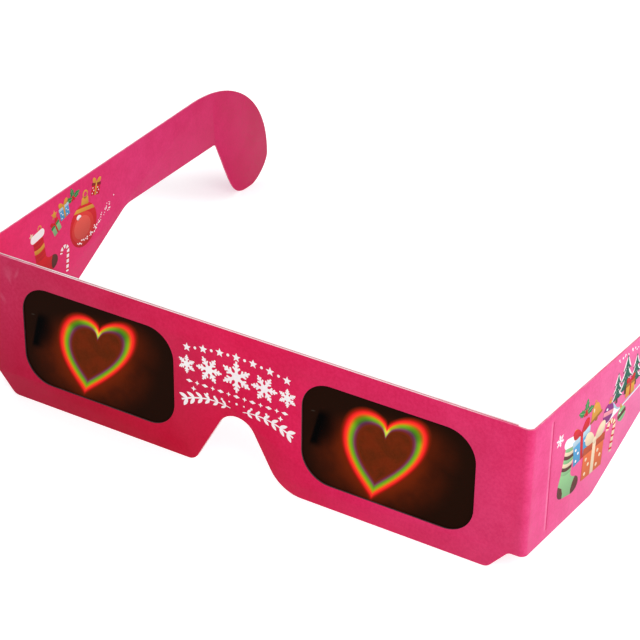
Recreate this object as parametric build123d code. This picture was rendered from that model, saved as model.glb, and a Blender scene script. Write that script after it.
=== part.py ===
from build123d import *
import math
import os

# Paperboard glasses with diffraction film in their windows, standing open on a table.
# Sizes are in millimetres and angles in degrees.
# X runs to the wearer's left, Y from the front board back to the ears, Z up.
# Z is zero on the table, and X and Y are zero in the middle of the footprint.

# Sheets
board_thickness = 0.4
film_thickness = 0.15

# Front board, measured to the corners where its face would meet the temples' faces
front_width = 140.0
front_height = 36.0
end_rise = 5.3
crook_flat = 1.0
slant_run = 4.7
lobe_radius = 2.5
crook_radius = 1.6

# Back board, which stops short of the bends
back_trim = 1.0

# Windows, by the board left round them
window_end_margin = 12.05
window_header = 5.5
window_sill = 5.7
window_radius = 7.0
bridge_width = 32.9

# Nose cut-out
nose_height = 15.0
nose_crown_radius = 5.0
nose_flank_angle = 61.0
nose_left_foot_radius = 9.0
nose_right_foot_radius = 3.0

# Diffraction film and the glue round it
film_margin = 3.5
glue_inset = 0.5

# Bends between the front and the temples, and the gap that a folded temple leaves
temple_splay = 3.0
folded_gap = 0.15

# Temples, measured back from the corner of the bend
temple_length = 129.5
straight_end = 28.1
diagonal_end = 59.4
arm_rise = 21.0
arm_fall = 1.1
kink_radius = 4.0
shoulder_radius = 8.0

# Hook behind the ear, measured forward from the temple's rear and up from its tip
hook_length = 27.3
throat_run = 10.0
throat_radius = 2.0
throat_side_rise = 11.3
tip_setback = 8.6
knee_rise = 6.5
heel_length = 38.5
heel_fullness_share = 0.57
tip_fullness_share = 0.42
toe_fullness_share = 0.9

# Pressed score line beside the bend, on a temple's outer face
score_distance = 8.6
score_width = 0.5
score_depth = 0.1
score_end_gap = 2.2

# Sizes that follow
front_thickness = 2 * board_thickness + film_thickness
window_width = (front_width - bridge_width) / 2 - window_end_margin
window_height = front_height - window_sill - window_header
throat_distance = temple_length - hook_length
throat_rise = arm_rise - arm_fall

# A temple turns about a line as far behind the front's face as inside its own face, so that
# it folds flat with its gap behind the back board. The bend's outer face passes through it.
bend_angle = 90 - temple_splay
half_bend = math.radians(bend_angle / 2)
fold_axis_depth = (front_thickness + board_thickness + folded_gap) / 2
fold_axis_x = front_width / 2 - fold_axis_depth * math.tan(half_bend)
bend_radius = fold_axis_depth / (1 - math.cos(half_bend))
bend_reach = bend_radius * math.tan(half_bend)
front_end = front_width / 2 - bend_reach
back_end = front_end - back_trim

# Y places of the front's layers, with the temples' rear ends as far the other way
splay_sine = math.sin(math.radians(temple_splay))
splay_cosine = math.cos(math.radians(temple_splay))
front_y = -(temple_length * splay_cosine + board_thickness * splay_sine) / 2
film_y = front_y + board_thickness
back_y = film_y + film_thickness


def round_corner(outline, x, z, radius):
    """Round the corner of a flat outline that is nearest to the point."""
    nearest = min(outline.vertices(), key=lambda v: math.hypot(v.X - x, v.Y - z))
    return fillet(nearest, radius)


def upright(outline, y, thickness):
    """Stand a flat outline up across the object, with its front face at y."""
    plane = Plane(origin=(0, y, 0), x_dir=(1, 0, 0), z_dir=(0, -1, 0))
    return extrude(plane * outline, -thickness)


def front_outline():
    """Outline of the front: two lobes, the nose cut-out and a raised end at each bend."""
    crook_x = front_end - crook_flat
    lobe_x = crook_x - slant_run
    flank = math.radians(nose_flank_angle)
    apex_z = nose_height - nose_crown_radius + nose_crown_radius / math.cos(flank)
    nose_x = apex_z / math.tan(flank)
    left_half = [
        (nose_x, 0),
        (lobe_x, 0),
        (crook_x, end_rise),
        (front_end, end_rise),
        (front_end, front_height),
    ]
    right_half = [(-x, z) for x, z in reversed(left_half)]
    outline = make_face(Polyline((0, apex_z), *left_half, *right_half, close=True))
    outline = round_corner(outline, 0, apex_z, nose_crown_radius)
    outline = round_corner(outline, nose_x, 0, nose_left_foot_radius)
    outline = round_corner(outline, -nose_x, 0, nose_right_foot_radius)
    for side in (1, -1):
        outline = round_corner(outline, side * lobe_x, 0, lobe_radius)
        outline = round_corner(outline, side * crook_x, end_rise, crook_radius)
    return outline


def window_places():
    """The two window centres, the wearer's left first."""
    window_x = (bridge_width + window_width) / 2
    window_z = window_sill + window_height / 2
    return [Location((side * window_x, window_z)) for side in (1, -1)]


def with_windows(outline):
    """Cut both windows in a flat outline."""
    for place in window_places():
        outline -= place * RectangleRounded(window_width, window_height, window_radius)
    return outline


def front_board():
    """Outer ply: the front part of the printed sheet, with both windows."""
    return upright(with_windows(front_outline()), front_y, board_thickness)


def back_outline():
    """Outline of the back board, cut off short of both bends."""
    return front_outline() & Rectangle(2 * back_end, 2 * front_height)


def back_board():
    """Inner ply, glued behind the front board."""
    return upright(with_windows(back_outline()), back_y, board_thickness)


def glue_outline():
    """Outline that the glue and the films keep to, just inside the back board's edges."""
    return offset(back_outline(), -glue_inset)


def film_outline(place):
    """Film with a margin held between the boards all round the window."""
    sheet = Rectangle(window_width + 2 * film_margin, window_height + 2 * film_margin)
    return (place * sheet) & glue_outline()


def film(place):
    """One sheet of diffraction film behind its window."""
    return upright(film_outline(place), film_y, film_thickness)


def glue_sheet():
    """Glue between the boards, round both films."""
    outline = glue_outline()
    for place in window_places():
        outline -= film_outline(place)
    return upright(outline, film_y, film_thickness)


def bend():
    """Soft bend of the outer ply, from the front's end to the left temple."""
    inner_radius = bend_radius - board_thickness
    outer = CenterArc((0, 0), bend_radius, -90, bend_angle)
    inner = CenterArc((0, 0), inner_radius, -90, bend_angle)
    section = make_face([outer, Line(outer @ 1, inner @ 1), inner, Line(inner @ 0, outer @ 0)])
    centre = Location((front_end, front_y + bend_radius, end_rise))
    return extrude(centre * section, front_height - end_rise)


def between(start, end, share):
    """Point at a share of the way from start to end."""
    return (start[0] + share * (end[0] - start[0]), start[1] + share * (end[1] - start[1]))


def rounded_turn(start, corner, end, fullness_share):
    """Smooth curve from start to end that leans towards the corner."""
    return Bezier(
        start,
        between(start, corner, fullness_share),
        between(end, corner, fullness_share),
        end,
    )


def temple_outline():
    """Outline of a temple, drawn back from the corner of the bend."""
    throat = (throat_distance, throat_rise)
    throat_foot = (throat_distance + throat_run, 0)
    throat_side = between(throat_foot, throat, throat_side_rise / throat_rise)
    tip = (temple_length - tip_setback, 0)
    knee = (temple_length, knee_rise)
    heel = (temple_length - heel_length, front_height)
    straight_sides = Polyline(
        heel,
        (bend_reach, front_height),
        (bend_reach, end_rise),
        (straight_end, end_rise),
        (diagonal_end, arm_rise),
        throat,
        throat_side,
    )
    toe = rounded_turn(throat_side, throat_foot, tip, toe_fullness_share)
    tip_rear = rounded_turn(tip, (temple_length, 0), knee, tip_fullness_share)
    heel_rear = rounded_turn(knee, (temple_length, front_height), heel, heel_fullness_share)
    outline = make_face([*straight_sides.edges(), toe, tip_rear, heel_rear])
    outline = round_corner(outline, straight_end, end_rise, kink_radius)
    outline = round_corner(outline, diagonal_end, arm_rise, shoulder_radius)
    return round_corner(outline, *throat, throat_radius)


def temple():
    """Left temple, one ply, with its pressed score line."""
    outer_face = Plane(
        origin=(front_width / 2, front_y, 0),
        x_dir=(splay_sine, splay_cosine, 0),
        z_dir=(splay_cosine, -splay_sine, 0),
    )
    plate = extrude(outer_face * temple_outline(), -board_thickness)
    score_height = front_height - end_rise - 2 * score_end_gap
    score_middle = (front_height + end_rise) / 2
    score = Location((score_distance, score_middle)) * Rectangle(score_width, score_height)
    return plate - extrude(outer_face * score, -score_depth)


def other_side(shape):
    """The same shape on the wearer's right."""
    return mirror(shape, about=Plane.YZ)


left_window, right_window = window_places()
left_bend = bend()
left_temple = temple()
parts = {
    "front_board": front_board(),
    "back_board": back_board(),
    "glue_sheet": glue_sheet(),
    "left_film": film(left_window),
    "right_film": film(right_window),
    "left_bend": left_bend,
    "right_bend": other_side(left_bend),
    "left_temple": left_temple,
    "right_temple": other_side(left_temple),
}

os.makedirs("parts", exist_ok=True)
for name, shape in parts.items():
    export_step(shape, f"parts/{name}.step")

# Places that the joints and mounts use
print(f"front face y {front_y:.4f}, back face y {front_y + front_thickness:.4f}")
print(f"fold axis x {fold_axis_x:.4f}, y {front_y + fold_axis_depth:.4f}")
print(f"front end x {front_end:.4f}, back end x {back_end:.4f}")
print(f"temple start {bend_reach:.4f} back from the corner")
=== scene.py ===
"""Paperboard glasses with diffraction film in their windows, standing open on a table."""
from math import asin, atan2, copysign, cos, degrees, pi, radians, sin, tan

import bmesh
import bpy
import numpy as np
from mathutils import Matrix, Vector


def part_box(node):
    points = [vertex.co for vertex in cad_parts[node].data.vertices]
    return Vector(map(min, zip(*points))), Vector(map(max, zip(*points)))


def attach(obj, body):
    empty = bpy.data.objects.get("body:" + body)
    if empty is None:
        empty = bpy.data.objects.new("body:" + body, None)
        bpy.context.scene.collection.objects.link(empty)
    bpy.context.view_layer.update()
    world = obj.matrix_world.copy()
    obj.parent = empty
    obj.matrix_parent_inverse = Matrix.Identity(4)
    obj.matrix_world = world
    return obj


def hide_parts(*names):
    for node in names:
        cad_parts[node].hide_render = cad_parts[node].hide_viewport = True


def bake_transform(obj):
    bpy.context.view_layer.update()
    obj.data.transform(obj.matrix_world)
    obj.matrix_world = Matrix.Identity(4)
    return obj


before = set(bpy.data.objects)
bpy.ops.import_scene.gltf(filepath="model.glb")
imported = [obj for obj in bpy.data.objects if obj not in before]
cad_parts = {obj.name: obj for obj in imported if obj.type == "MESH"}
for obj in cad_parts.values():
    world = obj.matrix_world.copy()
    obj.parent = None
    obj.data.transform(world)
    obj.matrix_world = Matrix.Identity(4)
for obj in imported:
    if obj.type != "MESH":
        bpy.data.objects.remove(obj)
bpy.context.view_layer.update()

MM = 0.001

# Sizes of the sheet in millimetres, as the CAD source has them
board_thickness = 0.4
front_width = 140.0
front_height = 36.0
end_rise = 5.3
temple_splay = radians(3.0)
temple_length = 129.5
bend_reach = 2.5916
front_end = front_width / 2 - bend_reach
front_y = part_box("front_board")[0].y / MM

# The bends' outer radius as it is drawn here, and the rounding that the die leaves on the rims
bend_radius = 1.5
rim_rounding = 0.05
rim_corner_steps = 3

# Score line on a temple's outer face: its way back from the corner, its ends and how soft they are, and its
# stripes of painted highlight before it and painted shade in it, each as offsets, strength and colour
score_distance = 8.6
score_foot, score_top = 7.5, 33.8
score_fade = 0.6
score_highlight_and_shade = [((-1.1, -0.5, -0.2, 0.1), 0.26, "#ffc4dc"), ((-0.1, 0.2, 0.4, 1.2), 0.16, "#b83a68")]

# Pale creases near the front's end: place, size, lean in degrees and strength
rubbed_creases = [((-61.6, 32.0), (2.1, 2.6), 0, 0.15), ((-59.1, 32.5), (0.6, 2.4), -26, 0.18),
                  ((-61.3, 30.4), (0.6, 1.6), 20, 0.12), ((-63.6, 25.0), (0.9, 2.2), 28, 0.14)]

# Plates of ink: how far one layer stands over another, and how far all are sunk in the board
ink_step = 0.01
ink_sunk = 0.01

# Windows and the heart of painted light that the film shows in each. A heart's view turns millimetres
# on the film into a viewer's upright frame, and its place there is where the heart's own zero lies.
window_x = 37.2
window_z = 18.1
window_reach = 22.0
low_window, high_window = 5.0, 31.2
film_cell = 0.25
heart_views = {1: (((0.8493, 0.0124), (-0.2731, 0.8658)), (-1.361, -0.228)),
               -1: (((0.8306, -0.0573), (-0.2767, 0.9335)), (-1.260, -0.273))}
heart_turn = radians(11.46)
heart_cleft = (0.0, 6.244)
heart_side = (8.718, 4.353)
heart_tip = (0.0, -9.409)
heart_middle = (0.24, 1.03)
cleft_spread, cleft_rise, cleft_slope = 0.12, 0.332, 0.364

# Strength of the surroundings' light, the table's own glow, and how much weaker the glow is as a
# painted shadow where the right hook's shadow falls from its tip, turned by degrees
surrounding_light = 0.77
table_glow, painted_shadow_depth = 0.43, 0.27
hook_tip, shadow_turn = Vector((-76.6, 56.0, 0.0)) * MM, -31.4


# Colours

def tint(code):
    """Linear colour of a hex code."""
    shares = [int(code[i:i + 2], 16) / 255 for i in (1, 3, 5)]
    linear = [c / 12.92 if c <= 0.04045 else ((c + 0.055) / 1.055) ** 2.4 for c in shares]
    return (*linear, 1.0)


INKS = {name: tint(code) for name, code in {
    "white": "#fffdfc", "snow blue": "#b9dcec", "sky blue": "#4fa6d8", "cream": "#f4e2bd",
    "gold": "#e2a53a", "dark gold": "#a86c22", "orange": "#e2703a", "deep orange": "#bf4f28",
    "red": "#d41a26", "warm red": "#dc3a34", "dark red": "#8f1420", "coral": "#e2584c",
    "rose": "#f39aa8", "purple": "#8b2b80", "leaf green": "#8ec98c", "green": "#2f8f4a",
    "fir green": "#1f6a55", "brown": "#5c2f26",
}.items()}

# The heart's colours, a painted image of light, by how far out a point is as a share of the outline
RING = [
    (0.635, "#6a260e"), (0.68, "#702c3e"), (0.71, "#7a4658"), (0.74, "#687838"), (0.78, "#6ca61d"),
    (0.82, "#90aa18"), (0.85, "#ca8818"), (0.88, "#f05c1e"), (0.91, "#fe3826"), (0.95, "#e82422"),
    (0.99, "#a61a10"), (1.025, "#701c08"),
]
RING_INNER, RING_OUTER = 0.55, 1.10

# Accents on the heart's painted light, darker on its lobes and brighter by its cleft: place, size, core,
# the band of reach they keep to, colour and blending
HEART_ACCENTS = [
    ((-6.3, 6.6), (3.6, 3.0), 0.2, (0.62, 0.72, 0.84, 0.92), (0.48, 0.58, 0.7, 1), "MULTIPLY"),
    ((7.0, 8.0), (3.6, 3.0), 0.2, (0.62, 0.72, 0.84, 0.92), (0.48, 0.58, 0.7, 1), "MULTIPLY"),
    ((0.5, 7.0), (3.8, 2.2), 0.3, (0.70, 0.76, 0.84, 0.90), (0.2, 0.02, 0.0, 1), "ADD"),
    ((-0.15, 5.6), (1.7, 1.7), 0.15, (0.66, 0.76, 0.82, 0.94), (0.32, 0.33, 0.05, 1), "ADD"),
]


# Node trees

def add_node(tree, kind, inputs=None, **settings):
    """Add a node to a tree. Each input is a value or another node's output."""
    node = tree.nodes.new(kind)
    for key, value in settings.items():
        setattr(node, key, value)
    for key, value in (inputs or {}).items():
        if isinstance(value, bpy.types.NodeSocket):
            tree.links.new(value, node.inputs[key])
        else:
            node.inputs[key].default_value = value
    return node


def put(kind, inputs, **settings):
    """Add a node to the tree that its inputs come from."""
    tree = next(value.id_data for value in inputs.values() if isinstance(value, bpy.types.NodeSocket))
    return add_node(tree, kind, inputs, **settings)


def feed(inputs, **sources):
    """Link outputs to inputs by their labels, with _ for a space."""
    for label, source in sources.items():
        source.id_data.links.new(source, inputs[label.replace("_", " ")])


def calc(operation, a, b=0.0):
    """A sum on two numbers."""
    return put("ShaderNodeMath", {0: a, 1: b}, operation=operation).outputs[0]


def product(first, *others):
    """Numbers multiplied together."""
    for other in others:
        first = calc("MULTIPLY", first, other)
    return first


def vector_calc(operation, inputs, output=0):
    """A sum on vectors."""
    return put("ShaderNodeVectorMath", inputs, operation=operation).outputs[output]


def axes_of(place):
    """X, Y and Z of a place."""
    return put("ShaderNodeSeparateXYZ", {0: place}).outputs


def turned_about(place, centre, turn, axis="Z_AXIS"):
    """A place turned about a centre by degrees."""
    inputs = {"Vector": place, "Center": centre, "Angle": radians(turn)}
    return put("ShaderNodeVectorRotate", inputs, rotation_type=axis).outputs[0]


def eased(value, low, high, start=0.0, end=1.0):
    """Smooth step from start at low to end at high."""
    inputs = {"Value": value, "From Min": low, "From Max": high, "To Min": start, "To Max": end}
    return put("ShaderNodeMapRange", inputs, interpolation_type="SMOOTHSTEP").outputs[0]


def rise_and_fall(value, low, full, fading, high):
    """1 from full to fading, and smoothly down to 0 at low and at high."""
    return product(eased(value, low, full), eased(value, high, fading))


def blended(factor, a, b, how="MIX"):
    """Two colours mixed."""
    inputs = {0: factor, 6: a, 7: b}
    return put("ShaderNodeMix", inputs, data_type="RGBA", blend_type=how).outputs[2]


def colour_ramp(factor, stops):
    """Colours along a number from 0 to 1, each stop a position and a hex code."""
    node = put("ShaderNodeValToRGB", {"Fac": factor})
    elements = node.color_ramp.elements
    while len(elements) < len(stops):
        elements.new(0.5)
    for element, (position, code) in zip(elements, stops):
        element.position = position
        element.color = tint(code)
    return node.outputs["Color"]


def noise(place, scale, detail=2.0, roughness=0.5):
    """Noise between 0 and 1."""
    inputs = {"Vector": place, "Scale": scale, "Detail": detail, "Roughness": roughness}
    return put("ShaderNodeTexNoise", inputs).outputs["Fac"]


def object_place(tree):
    """Object coordinates."""
    return add_node(tree, "ShaderNodeTexCoord").outputs["Object"]


VECTOR, COLOUR, NUMBER, WHOLE, MESH, MATERIAL = (
    f"NodeSocket{kind}" for kind in ("Vector", "Color", "Float", "Int", "Geometry", "Material"))


def group(name, inputs, outputs, kind="ShaderNodeTree"):
    """Empty node group with its sockets, and the sockets inside it."""
    tree = bpy.data.node_groups.new(name, kind)
    for label, socket, *value in inputs:
        made = tree.interface.new_socket(label, in_out="INPUT", socket_type=socket)
        if value:
            made.default_value = value[0]
    for label, socket in outputs:
        tree.interface.new_socket(label, in_out="OUTPUT", socket_type=socket)
    return tree, tree.nodes.new("NodeGroupInput").outputs, tree.nodes.new("NodeGroupOutput").inputs


# Effects that several materials share

def printed_paper_effect():
    """Coated paper: soft clouds of colour, finely mottled ink, grain and an uneven sheen."""
    tree, given, out = group(
        "printed_paper",
        [("Position", VECTOR), ("Ink", COLOUR, (1, 1, 1, 1)), ("Mottle", NUMBER, 0.5)],
        [("Color", COLOUR), ("Roughness", NUMBER), ("Height", NUMBER)])
    place = vector_calc("SCALE", {0: given["Position"], "Scale": 1 / MM})
    ink, share = given["Ink"], given["Mottle"]
    clouds = noise(place, 0.13, 3.0, 0.55)
    mottle = noise(place, 1.3, 4.0, 0.6)
    grain = noise(place, 5.0, 2.0, 0.7)
    deep = blended(1.0, ink, (0.88, 0.62, 0.74, 1), "MULTIPLY")
    pale = blended(0.01, ink, (1.0, 0.62, 0.78, 1))
    cloudy = blended(eased(clouds, 0.35, 0.65), deep, pale)
    mottled = blended(eased(mottle, 0.34, 0.66), deep, pale)
    base = blended(share, ink, cloudy)
    base = blended(product(share, 0.6), base, mottled)
    grained = blended(eased(grain, 0.30, 0.46, 0.88, 1.0), (0, 0, 0, 1), base)
    feed(out, Color=blended(share, base, grained), Roughness=eased(mottle, 0.3, 0.7, 0.38, 0.52),
         Height=calc("ADD", product(mottle, 0.7), grain))
    return tree


def cut_fibre_effect():
    """Edge of cut board: pale fibres, stained by the ink in patches that join as they grow."""
    tree, given, out = group(
        "cut_fibres",
        [("Position", VECTOR), ("Core", COLOUR, (1, 1, 1, 1)),
         ("Stain", COLOUR, (1, 0, 0, 1)), ("Stained", NUMBER, 0.5)],
        [("Color", COLOUR), ("Height", NUMBER)])
    place = vector_calc("SCALE", {0: given["Position"], "Scale": 1 / MM})
    patches = eased(noise(place, 0.35, 3.0), 0.38, 0.62, given["Stained"], 1.2)
    fibres = noise(place, 5.0, 3.0, 0.7)
    stained = blended(product(patches, given["Stained"]), given["Core"], given["Stain"])
    greyed = eased(fibres, 0.30, 0.48, 0.22, 0.0)
    feed(out, Color=blended(greyed, stained, (0.26, 0.22, 0.24, 1)), Height=fibres)
    return tree


def soft_spot_effect():
    """Mask of an oval spot that fades outwards from its core."""
    tree, given, out = group(
        "soft_spot",
        [("Place", VECTOR), ("Centre", VECTOR), ("Size", VECTOR, (1, 1, 1)), ("Core", NUMBER, 0.3)],
        [("Mask", NUMBER)])
    away = vector_calc("SUBTRACT", {0: given["Place"], 1: given["Centre"]})
    scaled = vector_calc("DIVIDE", {0: away, 1: given["Size"]})
    radius = vector_calc("LENGTH", {0: scaled}, "Value")
    feed(out, Mask=eased(radius, 1.0, given["Core"]))
    return tree


printed_paper = printed_paper_effect()
cut_fibres = cut_fibre_effect()
soft_spot = soft_spot_effect()


def use(shared, **inputs):
    """Outputs of a shared effect that is given its inputs."""
    return put("ShaderNodeGroup", inputs, node_tree=shared).outputs


def spot(place, centre, size, core, turn=0.0, axis="Z_AXIS"):
    """Mask of a soft oval spot, turned about its centre by degrees."""
    turned = turned_about(place, centre, turn, axis)
    return use(soft_spot, Place=turned, Centre=centre, Size=size, Core=core)["Mask"]


# Materials

def material(name, **constants):
    """New material, its tree, and its shader with some plain numbers set."""
    made = bpy.data.materials.new(name)
    made.use_nodes = True
    shader = made.node_tree.nodes["Principled BSDF"]
    for label, value in constants.items():
        shader.inputs[label.replace("_", " ")].default_value = value
    return made, made.node_tree, shader


def bump(shader, height, distance):
    """Fine relief on the shader's normal, in millimetres."""
    relief = put("ShaderNodeBump", {"Height": height, "Strength": 1.0, "Distance": distance * MM})
    feed(shader.inputs, Normal=relief.outputs["Normal"])


def paper_surface(shader, place, ink, mottle, relief):
    """Printed paper on a shader, in an ink, with its share of mottling and its relief."""
    paper = use(printed_paper, Position=place, Ink=ink, Mottle=mottle)
    feed(shader.inputs, Base_Color=paper["Color"], Roughness=paper["Roughness"])
    bump(shader, paper["Height"], relief)


def ink_ramp(along, first, inks):
    """Inks evenly apart along a number, from the first position to 0.94."""
    return colour_ramp(along, list(zip(np.linspace(first, 0.94, len(inks)), inks)))


def printed_board(name, high_inks_and_shade, low_inks_and_shade, temple_inks_and_light, scored):
    """Printed face of the board, with painted light and shade in its inks.

    High and low inks run from the wearer's right to left along the front's top and foot, and the
    temple inks from the bend back to the hook. On the outer face the front's inks are darker low down
    and at the wearer's right end as painted shade, and the temple inks are lighter as painted light on
    the faces that turn to the lamp, blending into the front's round the bend. Scored says whether the
    score line shows, with its painted highlight and shade.
    temple inks from the bend back to the hook. Scored says whether the score line shows.
    """
    made, tree, shader = material(name, Specular_IOR_Level=0.08)
    place = object_place(tree)
    x, y, z = axes_of(place)
    across = calc("ADD", product(x, 1 / (front_width * MM)), 0.5)
    high, low = (ink_ramp(across, 0.06, inks) for inks in (high_inks_and_shade, low_inks_and_shade))
    front_ink_and_shade = blended(eased(z, 0.0, front_height * MM), low, high)
    back = calc("DIVIDE", calc("SUBTRACT", y, front_y * MM), temple_length * MM)
    temple_ink = ink_ramp(back, 0.04, temple_inks_and_light)
    outwards = calc("ADD", calc("ABSOLUTE", x), y)
    past_corner = calc("SUBTRACT", outwards, (front_width / 2 + front_y) * MM)
    # Painted light and shade: the ink turns from the front's to the temple's round the bend, as the face
    # turns towards the lamp
    ink = blended(eased(past_corner, -3.0 * MM, 3.6 * MM), front_ink_and_shade, temple_ink)
    if scored:
        ink = creased(place, score_light_and_shade(y, z, ink))
    paper_surface(shader, place, ink, 0.85, 0.006)
    return made


def creased(place, ink):
    """Ink with the pale rubbed creases near the front's end on the wearer's right."""
    flat = vector_calc("MULTIPLY", {0: place, 1: (1, 0, 1)})
    for (x, z), (wide, high), lean, strength in rubbed_creases:
        rub = spot(flat, (x * MM, 0, z * MM), (wide * MM, 1, high * MM), 0.1, lean, "Y_AXIS")
        ink = blended(product(rub, strength), ink, tint("#e08aa0"))
    return ink


def score_light_and_shade(y, z, ink):
    """Ink with a painted highlight before the score line and painted shade in it, as light falls on its
    crease.
    """
    score_y = front_y + score_distance * cos(temple_splay)
    ends = [(end + fade) * MM for end in (score_foot, score_top) for fade in (-score_fade, score_fade)]
    inside = rise_and_fall(z, *ends)
    for offsets, strength, code in score_highlight_and_shade:
        stripe = rise_and_fall(y, *((score_y + offset) * MM for offset in offsets))
        ink = blended(product(stripe, strength, inside), ink, tint(code))
    return ink


def cut_edge(name, core, stain):
    """Cut edge of the board, with the colours of its core and of the ink on it.

    The ink covers more of it towards the front's ends, and most of it on the temples.
    """
    made, tree, shader = material(name, Roughness=0.85, Specular_IOR_Level=0.2)
    place = object_place(tree)
    off_middle = calc("ABSOLUTE", axes_of(place)[0])
    covered = eased(off_middle, 28 * MM, 72 * MM, 0.1, 0.92)
    fibres = use(cut_fibres, Position=place, Core=tint(core), Stain=tint(stain), Stained=covered)
    feed(shader.inputs, Base_Color=fibres["Color"])
    bump(shader, fibres["Height"], 0.02)
    return made


def dried_glue():
    """Glue between the plies."""
    made, tree, shader = material("dried_glue", Specular_IOR_Level=0.3)
    clumps = noise(object_place(tree), 900.0, 3.0)
    feed(shader.inputs,
         Base_Color=colour_ramp(clumps, [(0.3, "#d8ccce"), (0.7, "#f6eeee")]),
         Roughness=eased(clumps, 0.3, 0.7, 0.45, 0.7))
    return made


def printed_ink():
    """Inks of the motifs. Each shape carries its own colour."""
    made, tree, shader = material("printed_ink", Specular_IOR_Level=0.08)
    ink = add_node(tree, "ShaderNodeAttribute", attribute_name="ink_colour").outputs["Color"]
    paper_surface(shader, object_place(tree), ink, 0.22, 0.004)
    return made


def film_spot(place, centre, size, core, turn=0.0):
    """Mask of a soft spot on a film, in millimetres from the window's centre."""
    return spot(place, (*centre, 0), (*size, 1), core, turn)


def film_ground(place, reach, speck):
    """Dark film with a warm glow of painted light, inside and outside the heart."""
    glow = calc("MAXIMUM", film_spot(place, (-2.0, -2.8), (19.5, 13.5), 0.36, -14),
                product(film_spot(place, (9.0, 5.0), (10.0, 8.0), 0.2), 0.5))
    clouds = eased(noise(place, 0.22, 3.0, 0.6), 0.36, 0.64)
    warm = blended(clouds, tint("#4e1a08"), tint("#5c1f08"))
    warm = blended(eased(reach, 1.5, 1.0), warm, tint("#702408"))
    outside = blended(glow, tint("#200d05"), warm)
    inside = blended(clouds, tint("#5a240a"), tint("#70260c"))
    inside = blended(eased(speck, 0.3, 0.7, 0.0, 0.3), inside, tint("#7c3414"))
    return blended(eased(reach, 0.64, 0.56), outside, inside)


def heart_light_bands(reach):
    """The heart's bands of painted light, by reach."""
    span = RING_OUTER - RING_INNER
    share = calc("DIVIDE", calc("SUBTRACT", reach, RING_INNER), span)
    return colour_ramp(share, [((d - RING_INNER) / span, code) for d, code in RING])


def dark_mark_mask(place):
    """Leaning black mark at the window's end, sharp on its outer side and soft towards the heart."""
    x, z, _ = axes_of(place)
    lean = calc("SUBTRACT", calc("ADD", x, 18.1), product(z, 0.27))
    return product(rise_and_fall(lean, -0.4, 0.4, 0.9, 4.0), rise_and_fall(z, -4.3, -2.4, 4.2, 6.7))


def diffraction_film():
    """Dark film with the heart's painted light, which also glows a little, its accents, a black mark in a
    dark halo and a fine scratch.
    """
    made, tree, shader = material("diffraction_film", Specular_IOR_Level=0.012, Emission_Strength=0.12)
    place = add_node(tree, "ShaderNodeAttribute", attribute_name="window_place").outputs["Vector"]
    reach = add_node(tree, "ShaderNodeAttribute", attribute_name="heart_reach").outputs["Fac"]
    speck = noise(place, 1.6, 4.0, 0.8)
    on_ring = rise_and_fall(reach, 0.57, 0.62, 1.01, 1.09)
    ground = film_ground(place, reach, speck)
    shown = blended(on_ring, ground, heart_light_bands(reach))
    for centre, size, core, band, colour, how in HEART_ACCENTS:
        accent = product(film_spot(place, centre, size, core), rise_and_fall(reach, *band))
        shown = blended(accent, shown, colour, how)
    halo = film_spot(place, (-15.0, 1.6), (4.2, 6.2), 0.1, 14)
    shown = blended(product(halo, 0.80), shown, tint("#0c0301"))
    shown = blended(dark_mark_mask(place), shown, tint("#000000"))
    scratch = film_spot(place, (-18.15, 5.0), (0.75, 0.2), 0.2, -10)
    shown = blended(product(scratch, 0.5), shown, tint("#4a443c"))
    # The heart's bands also glow a little, as painted light
    feed(shader.inputs, Base_Color=shown, Emission_Color=blended(on_ring, (0, 0, 0, 1), shown),
         Roughness=eased(speck, 0.2, 0.8, 0.16, 0.24))
    return made


# The outer inks carry painted shade, darker low and at the wearer's right on the front, and painted light,
# lighter on the temples
outer_print = printed_board(
    "printed_board_outer_with_painted_light", ["#ca305b", "#d31e51", "#e51754", "#dd215c", "#e1306a"],
    ["#b70639", "#c0002f", "#d2043c", "#e32160", "#dd3a6f"], ["#eb5190", "#f682b8", "#f682b8"], True)
inner_print = printed_board(
    "printed_board_inner", ["#f32b70"] * 5, ["#f32b70"] * 5, ["#f32b70", "#e03275", "#ca1358"], False)
edge = cut_edge("cut_board_edge", "#fde6ea", "#e86a8e")
back_edge = cut_edge("back_board_edge", "#fdfaf8", "#ecccd0")
# The window's cut rim is dark with painted shade, where a plain cut edge shows the board's pale core
shaded_window_edge = cut_edge("window_cut_edge_painted_shade", "#503a3c", "#40202a")
ink_material = printed_ink()
film_material = diffraction_film()


# Places on the sheet, where side is 1 for the wearer's left and -1 for the right

def temple_corner(side):
    """Corner where the front's face would meet a temple's face, in millimetres."""
    return Vector((side * front_width / 2, front_y, 0))


def temple_run(side):
    """The way a temple runs back."""
    return Vector((side * sin(temple_splay), cos(temple_splay), 0))


def temple_out(side):
    """The way a temple's outer face looks."""
    return side * temple_run(side).cross(Vector((0, 0, 1)))


def front_face():
    """From millimetres across the front and up, to the front's face."""
    return Matrix(((1, 0, 0, 0), (0, 0, -1, front_y), (0, 1, 0, 0), (0, 0, 0, 1)))


def temple_face(side):
    """From millimetres back from the corner and up, to the +X-facing side of a temple.

    That is the wearer's left temple's outer face and the right one's inner face.
    """
    back, out = temple_run(side), side * temple_out(side)
    origin = temple_corner(side) + board_thickness * out * (side < 0)
    return Matrix(((back.x, 0, out.x, origin.x), (back.y, 0, out.y, origin.y), (0, 1, 0, 0), (0, 0, 0, 1)))


# Meshes and pieces

def add_object(name, data):
    """New object in the scene."""
    made = bpy.data.objects.new(name, data)
    bpy.context.scene.collection.objects.link(made)
    return made


def evaluated_mesh(piece):
    """Plain mesh of an object with its modifiers done."""
    graph = bpy.context.evaluated_depsgraph_get()
    return bpy.data.meshes.new_from_object(piece.evaluated_get(graph))


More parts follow.
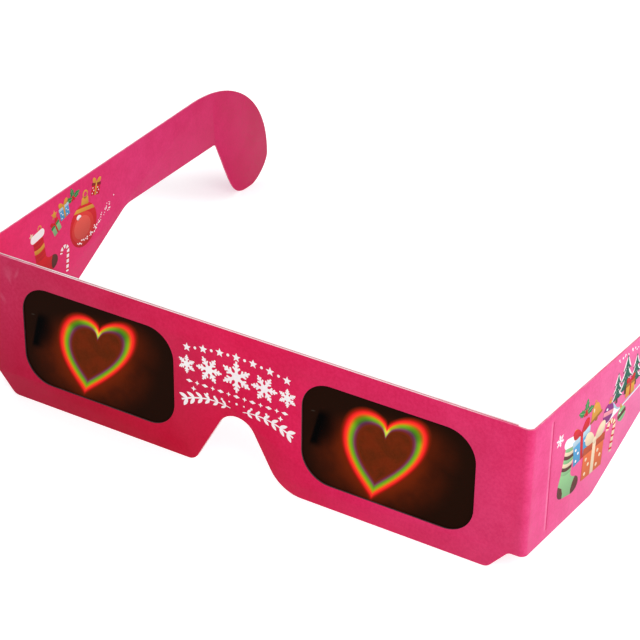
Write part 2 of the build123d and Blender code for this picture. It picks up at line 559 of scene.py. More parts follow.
def piece_from(name, mesh, materials):
    """Object at the origin with its materials."""
    mesh.name = name
    kinds = [min(face.material_index, len(materials) - 1) for face in mesh.polygons]
    mesh.materials.clear()
    for each in materials:
        mesh.materials.append(each)
    mesh.polygons.foreach_set("material_index", kinds)
    return add_object(name, mesh)


def in_score(middle, outward):
    """Whether a place, in millimetres, is on a wall of a temple's score line."""
    side = copysign(1, outward.x)
    back = (middle - temple_corner(side)).dot(temple_run(side))
    return abs(outward.x) > 0.5 and abs(back - score_distance) < 0.5


def face_kind(face, outward):
    """Material of a ply's face: 0 outer print, 1 inner print, 2 cut rim and 3 window rim."""
    along = face.normal.dot(outward)
    middle = face.calc_center_median() / MM
    if abs(along) > 0.99 or in_score(middle, outward):
        return 1 if along < -0.99 else 0
    in_window = abs(abs(middle.x) - window_x) < window_reach and abs(middle.y - front_y) < 1.0
    return 3 if in_window and low_window < middle.z < high_window else 2


def meets_bend(face):
    """Whether a face is the front's end or a temple's start."""
    middle = face.calc_center_median() / MM
    ends_front = abs(face.normal.x) > 0.99 and abs(abs(middle.x) - front_end) < 0.05
    return ends_front or (face.normal.y < -0.99 and abs(middle.x) > front_end
                          and middle.y < front_y + bend_reach + 0.2)


def ply(name, node, outward, rim=edge):
    """A board from its CAD node: printed faces, cut edges, and rims rounded by the die.

    outward is the way its outer side faces, and rim is the material of its cut edge.
    """
    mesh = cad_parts[node].data.copy()
    work = bmesh.new()
    work.from_mesh(mesh)
    bmesh.ops.remove_doubles(work, verts=work.verts, dist=0.0005 * MM)
    bmesh.ops.dissolve_limit(work, angle_limit=radians(0.3), verts=work.verts, edges=work.edges)
    for face in work.faces:
        face.material_index = face_kind(face, outward)
        face.smooth = True
    weights = work.edges.layers.float.new("bevel_weight_edge")
    for one in work.edges:
        sharp = one.calc_face_angle(0.0) > radians(40)
        plain = any(meets_bend(face) or (face.material_index == 0 and abs(face.normal.dot(outward)) < 0.9)
                    for face in one.link_faces)
        one[weights] = float(sharp and not plain)
    work.to_mesh(mesh)
    work.free()
    piece = piece_from(name, mesh, [outer_print, inner_print, rim, shaded_window_edge])
    rounding = piece.modifiers.new("rim rounding", "BEVEL")
    rounding.width = rim_rounding * MM
    rounding.segments = 2
    rounding.limit_method = "WEIGHT"
    rounded = evaluated_mesh(piece)
    piece.modifiers.clear()
    piece.data = rounded
    rounded.name = name
    rounded.set_sharp_from_angle(angle=radians(35))
    return piece


def bend_path():
    """Places on the bend's outer face, from the front to the temple, and the way it faces there."""
    turns, run_steps = 24, 4
    sweep = radians(90) - temple_splay
    run = bend_reach - bend_radius * tan(sweep / 2)
    ahead, aside = Vector((0, -1)), Vector((cos(temple_splay), -sin(temple_splay)))
    centre = Vector((front_end + run, front_y + bend_radius))
    path = [(Vector((front_end + run * i / run_steps, front_y)), ahead) for i in range(run_steps)]
    for i in range(turns + 1):
        angle = sweep * i / turns - pi / 2
        out = Vector((cos(angle), sin(angle)))
        path.append((centre + bend_radius * out, out))
    along = Vector((-aside.y, aside.x))
    return path + [(path[-1][0] + along * run * (i + 1) / run_steps, aside) for i in range(run_steps)]


def bend_section():
    """Section of the bend's board with round corners, as places inwards and up."""
    left, right = rim_rounding, board_thickness - rim_rounding
    low, high = end_rise + rim_rounding, front_height - rim_rounding
    corners = [(left, high, 90), (left, low, 180), (right, low, 270), (right, high, 0)]
    return [point for inward, z, first in corners
            for point in arc(inward, z, rim_rounding, first, first + 90, rim_corner_steps)]


def bend_ply(name, side):
    """Soft bend of the printed ply, from the front's end round to the temple."""
    section, path = bend_section(), bend_path()
    count = len(section)
    verts, faces, kinds = [], [], []
    for place, out in path:
        for inward, z in section:
            point = place - inward * out
            verts.append((side * point.x * MM, point.y * MM, z * MM))
    printed = {rim_corner_steps - 1: 0, 3 * rim_corner_steps - 1: 1}
    for i in range(len(path) - 1):
        for k in range(count):
            after = (k + 1) % count
            faces.append((i * count + k, (i + 1) * count + k, (i + 1) * count + after, i * count + after))
            kinds.append(printed.get(k, 2))
    end = (len(path) - 1) * count
    faces += [tuple(range(count)), tuple(end + k for k in range(count))]
    kinds += [2, 2]
    mesh = bpy.data.meshes.new(name)
    mesh.from_pydata(verts, [], faces)
    mesh.polygons.foreach_set("material_index", kinds)
    mesh.shade_smooth()
    work = bmesh.new()
    work.from_mesh(mesh)
    bmesh.ops.recalc_face_normals(work, faces=work.faces)
    work.to_mesh(mesh)
    work.free()
    piece = piece_from(name, mesh, [outer_print, inner_print, edge, shaded_window_edge])
    mesh.set_sharp_from_angle(angle=radians(50))
    return piece


def curve(a, b, c, d, count):
    """Points of a cubic curve, without its last one."""
    t = np.linspace(0, 1, count, endpoint=False)[:, None]
    a, b, c, d = (np.array(p, float) for p in (a, b, c, d))
    return (1 - t) ** 3 * a + 3 * (1 - t) ** 2 * t * b + 3 * (1 - t) * t ** 2 * c + t ** 3 * d


def heart_outline():
    """The heart, upright and symmetric, in millimetres."""
    cleft, side, tip = (np.array(p) for p in (heart_cleft, heart_side, heart_tip))
    lobe = curve(cleft, cleft + (0.30, 3.178), side + (0, 7.312), side, 40)
    flank = curve(side, side - (0, 6.566), tip + (1.046, 1.756), tip, 40)
    right = np.vstack([lobe, flank, tip])
    return np.vstack([right, right[-2:0:-1] * (-1, 1)])


def reach_in_heart(points):
    """How far out each point is, as a share of the heart's outline in its direction.

    The colours draw apart at the cleft.
    """
    outline = heart_outline() - heart_middle
    points = points - heart_middle
    angles = np.arctan2(outline[:, 0], -outline[:, 1])
    turns = np.arctan2(points[:, 0], -points[:, 1])
    edge_at = np.interp(turns, angles, np.linalg.norm(outline, axis=1), period=2 * pi)
    reach = np.linalg.norm(points, axis=1) / edge_at
    cleft_turn = atan2(-heart_middle[0], heart_middle[1] - heart_cleft[1])
    off_cleft = np.angle(np.exp(1j * (turns - cleft_turn)))
    return reach + np.exp(-(off_cleft / cleft_spread) ** 2) * (cleft_rise - cleft_slope * reach)


def film_sheet(name, node, side):
    """Film as a fine sheet that carries each point's place in the window and reach in the heart."""
    low, high = (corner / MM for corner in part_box(node))
    across, up = (np.linspace(a, b, round((b - a) / film_cell) + 1)
                  for a, b in ((low.x, high.x), (low.z, high.z)))
    grid = np.stack(np.meshgrid(across, up), -1).reshape(-1, 2)
    verts = np.vstack([np.insert(grid, 1, y, 1) for y in (low.y, high.y)])
    count = len(grid)
    ids = np.arange(count).reshape(len(up), len(across))
    front = np.stack([ids[:-1, :-1], ids[:-1, 1:], ids[1:, 1:], ids[1:, :-1]], -1).reshape(-1, 4)
    rim = np.concatenate([ids[0, :-1], ids[:-1, -1], ids[-1, :0:-1], ids[:0:-1, 0]])
    after = np.roll(rim, -1)
    walls = np.stack([after, rim, rim + count, after + count], -1)
    mesh = bpy.data.meshes.new(name)
    faces = np.vstack([front, front[:, ::-1] + count, walls])
    mesh.from_pydata((verts * MM).tolist(), [], faces.tolist())

    view, heart_place = heart_views[side]
    place = verts[:, [0, 2]] - (side * window_x, window_z)
    turn = np.array([[cos(heart_turn), sin(heart_turn)], [-sin(heart_turn), cos(heart_turn)]])
    reach = reach_in_heart((place[:count] @ np.transpose(view) - heart_place) @ turn)
    mesh.attributes.new("heart_reach", "FLOAT", "POINT").data.foreach_set(
        "value", np.tile(reach, 2))
    mesh.attributes.new("window_place", "FLOAT_VECTOR", "POINT").data.foreach_set(
        "vector", np.insert(place, 2, 0, 1).ravel())
    return piece_from(name, mesh, [film_material])


# Flat shapes of the print, in millimetres. Each is (colour, layer, outline).

def arc(x, y, radius, first, last, count=16):
    """Points of an arc, from one angle in degrees to another."""
    return [(x + radius * cos(t), y + radius * sin(t))
            for t in np.radians(np.linspace(first, last, count))]


def disc(colour, layer, x, y, radius, squash=1.0, count=28):
    """A round or oval dot."""
    turns = np.linspace(0, 2 * pi, count, endpoint=False)
    return (colour, layer, [(x + radius * cos(t), y + squash * radius * sin(t)) for t in turns])


def star(colour, layer, x, y, radius, points, waist, turn=0.0):
    """A star with its first point up. The waist is its inner radius as a share of the outer."""
    reaches = [radius, waist * radius] * points
    angles = [pi / 2 + turn + pi * k / points for k in range(2 * points)]
    return (colour, layer, [(x + r * cos(a), y + r * sin(a)) for r, a in zip(reaches, angles)])


def block(half, low, high):
    """Corners of an upright oblong."""
    return [(-half, low), (half, low), (half, high), (-half, high)]


def pill(colour, layer, y, half, radius):
    """A level bar with round ends."""
    return (colour, layer, arc(half, y, radius, -90, 90, 8) + arc(-half, y, radius, 90, 270, 8))


def stroke(colour, layer, path, widths):
    """A line of the pen along a path, with one width or one at each point."""
    path = [Vector(p) for p in path]
    widths = np.broadcast_to(widths, len(path))
    left, right = [], []
    for i, point in enumerate(path):
        ahead = path[min(i + 1, len(path) - 1)] - path[max(i - 1, 0)]
        across = Vector((-ahead.y, ahead.x)).normalized() * widths[i] / 2
        left.append(tuple(point + across))
        right.append(tuple(point - across))
    return (colour, layer, left + right[::-1])


def placed(shapes, x=0.0, y=0.0, turn=0.0, size=1.0, flip=False, lift=0):
    """Shapes turned, scaled and moved together, and lifted over those that they overlap."""
    c, s = cos(radians(turn)), sin(radians(turn))
    done = []
    for colour, layer, outline in shapes:
        points = [((-u if flip else u) * size, v * size) for u, v in outline]
        done.append((colour, layer + lift, [(x + c * u - s * v, y + s * u + c * v) for u, v in points]))
    return done


def laid(*motifs):
    """Shapes of motifs, each given with its place, turn in degrees and lift in layers."""
    return [shape for motif, x, z, turn, lift in motifs for shape in placed(motif, x, z, turn, lift=lift)]


# Motifs, drawn at the size of 1 and then scaled

def bauble(ball, bands, radius):
    """Hanging ball with coloured bands, a cap, a loop and a glint, its centre at zero."""
    shapes = [disc(ball, 1, 0, 0, 1, count=36)]
    for low, high, colour in bands:
        angles = np.linspace(asin(low), asin(high), 7)
        right = 0.995 * np.column_stack([np.cos(angles), np.sin(angles)])
        shapes.append((colour, 2, [*right, *(right[::-1] * (-1, 1))]))
    shapes += [("gold", 2, [(-0.28, 0.92), (0.28, 0.92), (0.224, 1.25), (-0.224, 1.25)]),
               stroke("gold", 2, arc(0, 1.38, 0.16, 0, 350), 0.07),
               disc("white", 3, -0.38, 0.42, 0.17, 0.7)]
    return placed(shapes, size=radius)


def gift(box, lid, ribbon, width, height, dots=None):
    """Wrapped box with a lid, ribbon and bow, standing on zero. Dots names a colour for dots on it."""
    tall = height / width
    shapes = [(box, 1, block(0.5, 0, tall)), (lid, 2, block(0.54, 0.8 * tall, 1.04 * tall)),
              (ribbon, 3, block(0.08, 0, 1.05 * tall))]
    loop = np.vstack([curve((0, 0), (0.10, 0.45), (0.62, 0.50), (0.48, 0.14), 9),
                      curve((0.48, 0.14), (0.42, -0.06), (0.2, 0.0), (0, 0), 9)])
    shapes += [(ribbon, 3, loop * (side, 1) + (0, 1.04 * tall)) for side in (-1, 1)]
    shapes.append(disc(ribbon, 4, 0, 1.05 * tall, 0.09))
    if dots:
        spread = ((-0.36, 0.16), (-0.22, 0.40), (-0.36, 0.62), (0.22, 0.16), (0.36, 0.40), (0.22, 0.62))
        shapes += [disc(dots, 2, x, y * tall, 0.05, count=14) for x, y in spread]
    return placed(shapes, size=width)


def candy_cane(colour, height):
    """Cane with red stripes and a hook, standing on zero."""
    path = [(0, 0.065 * k) for k in range(13)] + arc(-0.2, 0.78, 0.2, 0, 190, 13)[1:]
    stripes = [stroke("red", 2, path[k:k + 2], 0.1326) for k in range(1, len(path) - 1, 3)]
    return placed([stroke(colour, 1, path, 0.13), *stripes], size=height)


def fir_tree(height):
    """Fir with snow on its tiers and a trunk, standing on zero."""
    shapes = [("brown", 1, [(-0.06, 0), (0.06, 0), (0.05, 0.2), (-0.05, 0.2)])]
    for tier, (foot, top, half) in enumerate([(0.12, 0.52, 0.34), (0.36, 0.76, 0.27), (0.60, 1.0, 0.19)]):
        hem = [(half * (1 - k / 3), foot + 0.035 * (k % 2)) for k in range(7)]
        shapes.append(("fir green", 1 + tier, [(0, top)] + hem))
        for side in (-half, half):
            line = [(0.12 * side, top - 0.07), (0.55 * side, foot + 0.14), (0.86 * side, foot + 0.045)]
            shapes.append(stroke("white", 2 + tier, line, [0.02, 0.045, 0.02]))
    return placed(shapes, size=height)


def holly(length):
    """Three holly leaves round their berries."""
    side = [(k / 8, 0.30 * sin(pi * k / 8) * (1.0 if k % 2 else 0.62)) for k in range(9)]
    one_leaf = [("green", 1, side + [(u, -v) for u, v in side[-2:0:-1]]),
                stroke("leaf green", 2, [(0.1, 0), (0.85, 0)], 0.035)]
    shapes = laid(*((one_leaf, 0, 0, turn, 0) for turn in (15, 95, 170)))
    shapes += [disc("red", 3, x, y, 0.13) for x, y in ((0, 0.12), (0.14, -0.08), (-0.14, -0.08))]
    return placed(shapes, size=length)


def leaf(layer, x, y, turn, length):
    """One white pointed leaf that grows from a place."""
    side = curve((0, 0), (0.3, 0.308), (0.75, 0.22), (1, 0), 9)
    outline = np.vstack([side, (1, 0), side[:0:-1] * (1, -1)])
    return placed([("white", layer, outline)], x, y, turn, length)[0]


def stocking(bands, height):
    """Stocking with a banded leg, brown heel and toe and a white cuff, standing on zero."""
    half, ankle, cuff = 0.15, 0.40, 0.82
    heel = curve((-half, ankle), (-0.20, 0.14), (-0.17, 0.0), (0.02, 0.0), 12)
    toe = curve((0.28, 0.0), (0.50, 0.0), (0.53, 0.25), (0.33, 0.27), 14)
    instep = curve((0.33, 0.27), (0.23, 0.28), (half, 0.32), (half, ankle), 8)
    shapes = [(bands[-1], 1, [*heel, (0.02, 0.0), *toe, *instep, (half, ankle)]),
              ("brown", 2, [*toe, (0.33, 0.27), (0.28, 0.18), (0.26, 0.08)]),
              ("brown", 2, [*heel[3:], (0.02, 0.0), (0.01, 0.08), (-0.04, 0.17)])]
    bow = np.array([(half * (k / 3 - 1), -0.03 * (1 - (k / 3 - 1) ** 2)) for k in range(7)])
    step = (cuff - ankle) / len(bands)
    for i, colour in enumerate(bands):
        lower = bow + (0, ankle + i * step)
        shapes.append((colour, 2, [*lower, *(lower[::-1] + (0, step))]))
    shapes += [pill("white", 3, 0.88, 0.13, 0.08),
               stroke("gold", 1, arc(0.09, 0.99, 0.05, -60, 240, 12), 0.02)]
    return placed(shapes, size=height)


def bell(height):
    """Bell with its rim, clapper and loop, standing on zero."""
    side = curve((0.50, 0.16), (0.30, 0.24), (0.40, 0.86), (0.0, 0.90), 14)
    body = [*side, (0.0, 0.90), *(side[::-1] * (-1, 1))]
    shapes = [disc("dark gold", 1, 0, 0.10, 0.11), ("gold", 2, body),
              pill("dark gold", 3, 0.17, 0.44, 0.06),
              stroke("gold", 1, arc(0, 0.95, 0.07, -50, 230, 12), 0.035),
              disc("cream", 4, -0.16, 0.62, 0.06, 1.7, count=14)]
    return placed(shapes, size=height)


def snow_bank(colour, rise):
    """Wavy bank of snow that climbs along its length."""
    share = np.linspace(0, 1, 33)
    along, foot = 21.0 * share, 20.4 + 3.2 * share
    waves = 0.55 + 0.45 * np.sin(5 * pi * share)
    ends = np.sin(pi * np.minimum(1, 4 * share * (1 - share) + 0.12))
    top = foot + 0.25 + rise * waves * ends
    return [(colour, 1, [*zip(along, foot), *zip(along[::-1], top[::-1])])]


# Meshes of the print

def shaded(colour, share):
    """Ink that is deeper at a shape's foot, where share is 0, than at its top. White is even."""
    if colour == "white":
        return INKS[colour]
    depth = 0.74 + 0.34 * share
    return (*(depth * c for c in INKS[colour][:3]), 1.0)


def print_mesh(name, shapes):
    """Thin closed plates of ink, one for each shape, in millimetres above a flat sheet."""
    work = bmesh.new()
    colours = work.loops.layers.float_color.new("ink_colour")
    for colour, layer, outline in shapes:
        area = sum(a[0] * b[1] - b[0] * a[1] for a, b in zip(outline, outline[1:] + outline[:1]))
        if area < 0:
            outline = outline[::-1]
        top = [work.verts.new((u, v, ink_step * layer)) for u, v in outline]
        foot = [work.verts.new((u, v, -ink_sunk)) for u, v in outline]
        faces = [work.faces.new(top), work.faces.new(foot[::-1])]
        for k, after in enumerate([*range(1, len(outline)), 0]):
            faces.append(work.faces.new((foot[k], foot[after], top[after], top[k])))
        low = min(v for u, v in outline)
        height = max(v for u, v in outline) - low
        for face in faces:
            for loop in face.loops:
                loop[colours] = shaded(colour, (loop.vert.co.y - low) / height)
    work.normal_update()
    bmesh.ops.triangulate(work, faces=[f for f in work.faces if len(f.verts) > 4])
    mesh = bpy.data.meshes.new(name)
    work.to_mesh(mesh)
    work.free()
    return mesh


def end_growth(given, out, points, **turn_or_scale):
    """End a geometry tree with real copies of its mesh on its points, in its material."""
    copies = put("GeometryNodeInstanceOnPoints",
                 {"Points": points, "Instance": given["Mesh"], **turn_or_scale})
    real = put("GeometryNodeRealizeInstances", {0: copies.outputs[0]})
    painted = put("GeometryNodeSetMaterial", {"Geometry": real.outputs[0], "Material": given["Material"]})
    feed(out, Mesh=painted.outputs[0])


def turned_copies_tree():
    """Geometry nodes that repeat a mesh round a centre."""
    tree, given, out = group(
        "turned_copies", [("Mesh", MESH), ("Copies", WHOLE, 6), ("Material", MATERIAL)],
        [("Mesh", MESH)], "GeometryNodeTree")
    points = put("GeometryNodePoints", {"Count": given["Copies"]})
    index = add_node(tree, "GeometryNodeInputIndex").outputs[0]
    angle = product(index, calc("DIVIDE", 2 * pi, given["Copies"]))
    turn = put("ShaderNodeCombineXYZ", {"Z": angle})
    end_growth(given, out, points.outputs[0], Rotation=turn.outputs[0])
    return tree


def snow_trail_tree():
    """Geometry nodes that scatter a small mesh along a line, wider towards its end."""
    tree, given, out = group(
        "snow_trail",
        [("Mesh", MESH), ("Count", WHOLE, 20), ("Start", VECTOR), ("End", VECTOR, (1, 0, 0)),
         ("Spread", NUMBER, 1.0), ("Smallest", NUMBER, 0.3), ("Largest", NUMBER, 1.0), ("Seed", WHOLE, 1),
         ("Material", MATERIAL)], [("Mesh", MESH)], "GeometryNodeTree")
    share = calc("DIVIDE", add_node(tree, "GeometryNodeInputIndex").outputs[0], given["Count"])
    line = put("ShaderNodeMix", {0: share, 4: given["Start"], 5: given["End"]}, data_type="VECTOR")
    width = product(given["Spread"], calc("ADD", share, 0.35))
    wide = put("ShaderNodeCombineXYZ", {"X": width, "Y": width}).outputs[0]
    narrow = vector_calc("SCALE", {0: wide, "Scale": -1.0})
    stray = put("FunctionNodeRandomValue", {0: narrow, 1: wide, "Seed": given["Seed"]},
                data_type="FLOAT_VECTOR")
    place = vector_calc("ADD", {0: line.outputs[1], 1: stray.outputs[0]})
    points = put("GeometryNodePoints", {"Count": given["Count"], "Position": place})
    inputs = {2: given["Smallest"], 3: given["Largest"], "Seed": given["Seed"]}
    size = put("FunctionNodeRandomValue", inputs, data_type="FLOAT").outputs[1]
    scale = put("ShaderNodeCombineXYZ", {"X": size, "Y": size, "Z": 1.0})
    end_growth(given, out, points.outputs[0], Scale=scale.outputs[0])
    return tree


turned_copies = turned_copies_tree()
snow_trail = snow_trail_tree()


def grown(tree, seed_mesh, **inputs):
    """Plain mesh that a geometry tree makes from a seed mesh and its named inputs."""
    holder = add_object("seed", seed_mesh)
    modifier = holder.modifiers.new("grow", "NODES")
    modifier.node_group = tree
    for item in tree.interface.items_tree:
        if item.in_out == "INPUT" and item.name in inputs:
            modifier[item.identifier] = inputs[item.name]
    holder.update_tag()
    mesh = evaluated_mesh(holder)
    bpy.data.objects.remove(holder)
    return mesh


def snowflake(radius, weight, x, z, turn=0.0):
    """Six-armed snow crystal at a place, from one arm. Weight is an arm's width as a share of it."""
    arm = [stroke("white", 1, [(0, 1.05 * weight), (0, 1)], [weight, 0.55 * weight])]
    for height, reach in ((0.42, 0.30), (0.68, 0.20)):
        for side, layer in ((-1, 2), (1, 3)):
            arm.append(stroke("white", layer, [(0, height), (0.8 * side * reach, height + 0.62 * reach)],
                              [0.8 * weight, 0.5 * weight]))
    arm_mesh = print_mesh("arm", placed(arm, size=radius))
    meshes = [grown(turned_copies, arm_mesh, Copies=6, Material=ink_material),
              print_mesh("hub", [disc("white", 2, 0, 0, 1.35 * weight * radius, count=6)])]
    for mesh in meshes:
        mesh.transform(Matrix.Translation((x, z, 0)) @ Matrix.Rotation(radians(turn), 4, "Z"))
    return meshes


def snow_dots(start, end, count, spread, smallest, largest, seed):
    """Scattered dots of snow along a line."""
    dot = print_mesh("dot", [disc("white", 4, 0, 0, 1.0, count=10)])
    return grown(snow_trail, dot, Count=count, Start=(*start, 0.0), End=(*end, 0.0), Spread=spread,
                 Smallest=smallest, Largest=largest, Seed=seed, Material=ink_material)


def print_piece(name, meshes, place, mirrored=False):
    """Join printed meshes and lay them on a face of the sheet."""
    work = bmesh.new()
    for mesh in meshes:
        work.from_mesh(mesh)
        bpy.data.meshes.remove(mesh)
    whole = bpy.data.meshes.new(name)
    work.to_mesh(whole)
    work.free()
    whole.transform(Matrix.Scale(MM, 4) @ place)
    if mirrored:
        whole.transform(Matrix.Scale(-1, 4, (1, 0, 0)))
        whole.flip_normals()
    return piece_from(name, whole, [ink_material])


# The prints

def leafy_spray():
    """White spray that droops outwards, its pairs of leaves evenly apart."""
    stem = curve((1.6, 16.8), (5.4, 17.6), (9.4, 17.4), (14.8, 14.6), 40)
    gone = np.concatenate([[0], np.cumsum(np.linalg.norm(np.diff(stem, axis=0), axis=1))])
    shapes = [stroke("white", 1, stem, np.linspace(0.18, 0.42, 40))]
    for k in range(6):
        i = int(np.searchsorted(gone, 0.9 + 2.1 * k))
        ahead = stem[min(i + 1, 39)] - stem[i - 1]
        slope = degrees(atan2(ahead[1], ahead[0]))
        for way, layer in ((1, 3), (-1, 2)):
            foot_z = stem[i][1] + 0.1 * way
            shapes.append(leaf(layer, stem[i][0], foot_z, slope + way * 40, 1.5 + 0.16 * k))
    return shapes


def bridge_print():
    """White ornament between the windows: an arch of stars, crystals, a fine chain and leafy sprays."""
    shapes = []
    for k in range(13):
        x, z = 12.8 * (k / 6 - 1), 30.0 - 1.5 * (k / 6 - 1) ** 2
        dot, point = disc("white", 1, x, z, 0.36, count=12), star("white", 1, x, z, 1.1, 5, 0.45)
        shapes.append(dot if k % 2 else point)
    for k in range(13):
        x = 2.05 * (k - 6)
        diamond = ("white", 1, [(x - 0.86, 20.2), (x, 19.78), (x + 0.86, 20.2), (x, 20.62)])
        shapes.append(star("white", 1, x, 20.2, 0.62, 4, 0.38) if k % 2 else diamond)
    shapes += [disc("white", 1, 1.9 * k, 18.35, 0.3 if k % 2 == 0 else 0.2, count=10) for k in range(-4, 5)]
    for side in (-1, 1):
        shapes += placed(leafy_spray(), flip=side < 0)
        shapes.append(star("white", 1, side * 11.2, 18.5, 0.7, 4, 0.4))
    meshes = [print_mesh("shapes", shapes), *snowflake(3.9, 0.21, 0, 25.1)]
    for radius, weight, x, z, turn in ((3.3, 0.22, 7.1, 24.6, 30), (2.3, 0.25, 12.9, 24.2, 0)):
        meshes += snowflake(radius, weight, -x, z, turn) + snowflake(radius, weight, x, z, turn)
    return print_piece("bridge_snow_print", meshes, front_face())


def outer_temple_meshes():
    """Motifs on a temple's outer face, with firs in the snow."""
    bands = ["leaf green", "brown", "cream", "leaf green", "brown", "cream", "leaf green"]
    shapes = laid(
        (stocking(bands, 14.6), 14.2, 12.0, -13, 0),
        (gift("sky blue", "snow blue", "red", 6.8, 6.2, "white"), 22.0, 17.8, 6, 4),
        (gift("orange", "deep orange", "cream", 8.8, 7.6, "cream"), 27.0, 11.6, -3, 8),
        (bauble("purple", [(-0.25, 0.2, "rose")], 2.3), 33.0, 23.4, -12, 3),
        (bell(5.2), 27.6, 24.4, 10, 3),
        (candy_cane("cream", 7.8), 35.2, 12.6, -10, 8),
        (holly(3.4), 22.6, 28.6, -12, 3),
        (bauble("leaf green", [(-0.3, 0.3, "brown")], 1.8), 39.4, 20.0, 16, 3),
        (snow_bank("snow blue", 3.4), 32.4, 0.6, 0, 0),
        (snow_bank("white", 2.3), 32.4, 0.4, 0, 1),
        *((fir_tree(tall), x, z, 0, 2)
          for tall, x, z in ((7.6, 36.4, 24.0), (9.8, 40.2, 24.4), (7.8, 44.6, 24.6), (9.2, 48.6, 24.9))),
        (gift("gold", "dark gold", "red", 3.8, 3.2), 42.4, 23.2, 0, 7))
    return [print_mesh("shapes", shapes), snow_dots((36.0, 34.4), (52.0, 34.2), 20, 0.8, 0.14, 0.30, 4),
            *snowflake(1.6, 0.20, 12.0, 27.4, 12)]


def inner_temple_meshes():
    """Motifs on a temple's inner face, with a trail of snow."""
    ball = bauble("red", [(0.62, 0.80, "gold")], 5.7)
    ball += [disc("warm red", 2, -0.2, -0.5, 4.6, 0.86), disc("coral", 3, -0.4, -0.5, 3.5, 0.86)]
    shapes = laid(
        (ball, 40.6, 23.6, -10, 0),
        (gift("sky blue", "snow blue", "gold", 3.8, 3.2, "white"), 33.4, 28.9, 10, 4),
        (gift("leaf green", "green", "red", 3.2, 2.7), 30.2, 26.4, 24, 1),
        (gift("red", "dark red", "gold", 3.6, 3.0, "white"), 46.0, 29.4, -16, 0),
        (candy_cane("white", 7.0), 33.0, 14.4, -8, 4),
        (holly(3.0), 36.9, 32.4, 8, 4),
        (stocking(["red", "red", "gold", "red", "red"], 13.4), 23.6, 17.2, 8, 0))
    shapes += [star("gold", 2, 29.0, 31.4, 1.3, 5, 0.45), star("cream", 2, 19.6, 29.8, 0.9, 5, 0.45, 0.3)]
    return [print_mesh("shapes", shapes),
            snow_dots((38.0, 19.6), (42.2, 18.9), 14, 0.8, 0.10, 0.24, 5),
            snow_dots((42.0, 19.2), (46.6, 21.8), 22, 1.2, 0.10, 0.26, 7),
            snow_dots((46.6, 21.6), (53.4, 24.8), 26, 1.3, 0.09, 0.22, 9)]


# The pieces

for name, node, rim in (("front_ply", "front_board", edge), ("back_ply", "back_board", back_edge)):
    piece = ply(name, node, Vector((0, -1, 0)), rim)
    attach(piece, "front")
    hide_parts(node)

for side, word in ((1, "left"), (-1, "right")):
    temple = ply(f"{word}_temple_ply", f"{word}_temple", temple_out(side))
    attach(temple, f"{word}_arm")
    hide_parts(f"{word}_temple")

    bend = bend_ply(f"{word}_bend_ply", side)
    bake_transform(bend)
    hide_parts(f"{word}_bend")

    film = film_sheet(f"{word}_film_sheet", f"{word}_film", side)
    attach(film, "front")
    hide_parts(f"{word}_film")

prints = [
    (bridge_print(), "front"),
    (print_piece("left_outer_print", outer_temple_meshes(), temple_face(1)), "left_arm"),
    (print_piece("right_outer_print", outer_temple_meshes(), temple_face(1), True), "right_arm"),
    (print_piece("right_inner_print", inner_temple_meshes(), temple_face(-1)), "right_arm"),
    (print_piece("left_inner_print", inner_temple_meshes(), temple_face(-1), True), "left_arm"),
]
for piece, body in prints:
    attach(piece, body)

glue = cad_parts["glue_sheet"]
glue.data.materials.clear()
glue.data.materials.append(dried_glue())


# Table, light and camera

def white_to_the_eye(tree):
    """1 for rays of the camera, and of gloss and glass, and 0 for light."""
    path = add_node(tree, "ShaderNodeLightPath").outputs
    seen = calc("MAXIMUM", path["Is Camera Ray"], path["Is Glossy Ray"])
    return calc("MAXIMUM", seen, path["Is Transmission Ray"])


def glow_and_painted_shadow(tree):
    """The table's own glow, with a painted shadow beside the right hook where it is weaker, so that the
    hook's shadow shows.
    """
    turned = turned_about(object_place(tree), hook_tip, shadow_turn)
    middle = hook_tip - Vector((10, 3, 0)) * MM
    oval = spot(turned, middle, (48 * MM, 17 * MM, 1), 0.1)
    past_hook = eased(axes_of(turned)[0], hook_tip.x, hook_tip.x - 5 * MM)
    return calc("SUBTRACT", table_glow, product(oval, past_hook, painted_shadow_depth))


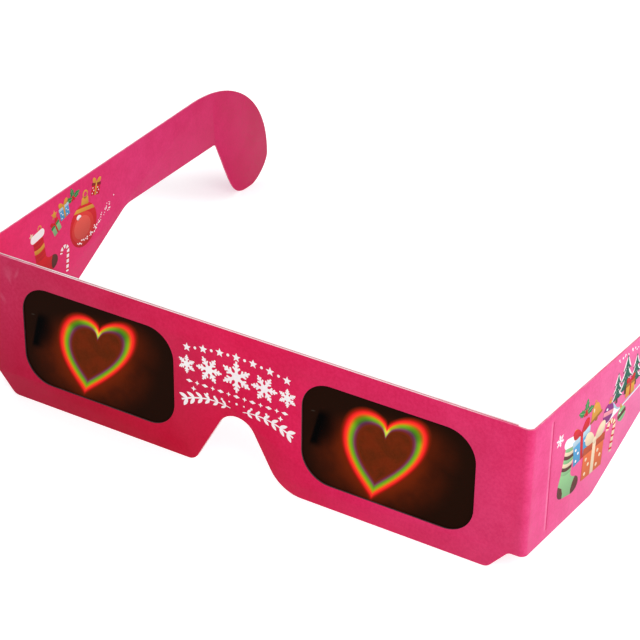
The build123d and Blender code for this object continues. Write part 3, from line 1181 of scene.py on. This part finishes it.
def table_top():
    """White table that keeps the object's shadow."""
    mesh = bpy.data.meshes.new("table_top")
    mesh.from_pydata([(-6, -6, 0), (6, -6, 0), (6, 6, 0), (-6, 6, 0)], [], [(0, 1, 2, 3)])
    made, tree, _ = material("white_table")
    tree.nodes.clear()
    diffuse = add_node(tree, "ShaderNodeBsdfDiffuse", {"Color": (0.93, 0.93, 0.93, 1)})
    lift = product(white_to_the_eye(tree), glow_and_painted_shadow(tree))
    glow = put("ShaderNodeEmission", {"Color": (1, 1, 1, 1), "Strength": lift})
    both = put("ShaderNodeAddShader", {0: diffuse.outputs[0], 1: glow.outputs[0]})
    put("ShaderNodeOutputMaterial", {"Surface": both.outputs[0]})
    mesh.materials.append(made)
    table = add_object("table_top", mesh)
    table.location.z = -0.02 * MM


def key_light():
    """Square soft light from ahead and above, on the wearer's left."""
    place, aim = Vector((0.38, -0.22, 0.30)), Vector((0, 0, 0.02))
    data = bpy.data.lights.new("key_light", "AREA")
    data.shape, data.size, data.energy = "SQUARE", 0.30, 0.92
    lamp = add_object("key_light", data)
    lamp.location = place
    lamp.rotation_euler = (aim - place).to_track_quat("-Z", "Y").to_euler()


def white_world():
    """White surroundings that light the object softly and are plain white to the camera."""
    world = bpy.data.worlds.new("white_surroundings")
    world.use_nodes = True
    tree = world.node_tree
    ground = tree.nodes["Background"]
    ground.inputs["Color"].default_value = (1, 1, 1, 1)
    feed(ground.inputs, Strength=eased(white_to_the_eye(tree), 0.0, 1.0, surrounding_light, 1.0))
    bpy.context.scene.world = world


def photo_camera():
    """Camera at the photograph's angle, turned about the point that it looks at."""
    azimuth, elevation, roll = (radians(a) for a in (31.4423, 30.0145, 0.8194))
    distance, aim = 0.439051, (0.0206817, -0.0646717, 0.0457410)
    turn = (Matrix.Rotation(azimuth, 4, "Z") @ Matrix.Rotation(pi / 2 - elevation, 4, "X")
            @ Matrix.Rotation(roll, 4, "Z"))
    data = bpy.data.cameras.new("photo_camera")
    data.sensor_width, data.lens, data.clip_start = 36.0, 121.087, 0.01
    camera = add_object("photo_camera", data)
    camera.matrix_world = Matrix.Translation(aim) @ turn @ Matrix.Translation((0, 0, distance))
    bpy.context.scene.camera = camera


table_top()
white_world()
key_light()
photo_camera()
bpy.context.scene.view_settings.view_transform = "Standard"
